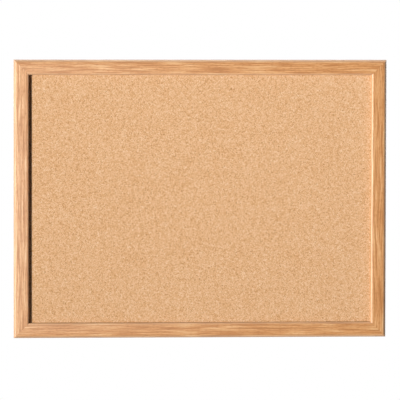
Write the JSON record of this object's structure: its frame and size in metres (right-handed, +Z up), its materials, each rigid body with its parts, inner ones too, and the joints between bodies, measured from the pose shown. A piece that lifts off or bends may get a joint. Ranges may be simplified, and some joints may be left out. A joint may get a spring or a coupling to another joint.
{
  "type": "framed cork pin board",
  "caption": "Rectangular cork pin board in a mitred oak-effect frame, with a closed back, swinging ring hangers and rubber wall bumpers.",
  "frame": {"origin": "middle of the top rail's flat back face", "axes": "+X to the right as seen from the front, +Y out of the back towards the wall, +Z up; the cork faces -Y"},
  "size_m": [0.6, 0.0226, 0.447],
  "materials": {
    "oak_foil": "satin oak-effect foil over fibreboard moulding",
    "cork": "matt fine-grain agglomerated cork",
    "softboard": "matt soft fibreboard",
    "hardboard": "brown hardboard, screen side out",
    "black_steel": "blued spring steel",
    "zinc_steel": "bright zinc plate",
    "rubber": "matt moulded rubber"
  },
  "bodies": {
    "board": {"top_rail": "oak_foil", "bottom_rail": "oak_foil", "left_rail": "oak_foil", "right_rail": "oak_foil", "cork_sheet": "cork", "softboard_core": "softboard", "back_panel": "hardboard", "v_nail_top_left_outer": "black_steel", "v_nail_top_left_inner": "black_steel", "v_nail_top_right_outer": "black_steel", "v_nail_top_right_inner": "black_steel", "v_nail_bottom_left_outer": "black_steel", "v_nail_bottom_left_inner": "black_steel", "v_nail_bottom_right_outer": "black_steel", "v_nail_bottom_right_inner": "black_steel", "top_tab_1": "black_steel", "top_tab_2": "black_steel", "top_tab_3": "black_steel", "top_tab_4": "black_steel", "bottom_tab_1": "black_steel", "bottom_tab_2": "black_steel", "bottom_tab_3": "black_steel", "bottom_tab_4": "black_steel", "left_tab_1": "black_steel", "left_tab_2": "black_steel", "left_tab_3": "black_steel", "right_tab_1": "black_steel", "right_tab_2": "black_steel", "right_tab_3": "black_steel", "hanger_strap_left": "zinc_steel", "hanger_strap_right": "zinc_steel", "hanger_screw_left_1": "zinc_steel", "hanger_screw_left_2": "zinc_steel", "hanger_screw_right_1": "zinc_steel", "hanger_screw_right_2": "zinc_steel", "wall_bumper_left": "rubber", "wall_bumper_right": "rubber"},
    "left_ring": {"hanger_ring_left": "zinc_steel"},
    "right_ring": {"hanger_ring_right": "zinc_steel"}
  },
  "joints": [
    {"name": "left_ring_swing", "type": "hinge", "parent": "board", "child": "left_ring", "pos_m": [-0.291, 0.00235, -0.041], "axis": [-1, 0, 0], "range_deg": [0, 178]},
    {"name": "right_ring_swing", "type": "hinge", "parent": "board", "child": "right_ring", "pos_m": [0.291, 0.00235, -0.041], "axis": [-1, 0, 0], "range_deg": [0, 178]}
  ]
}
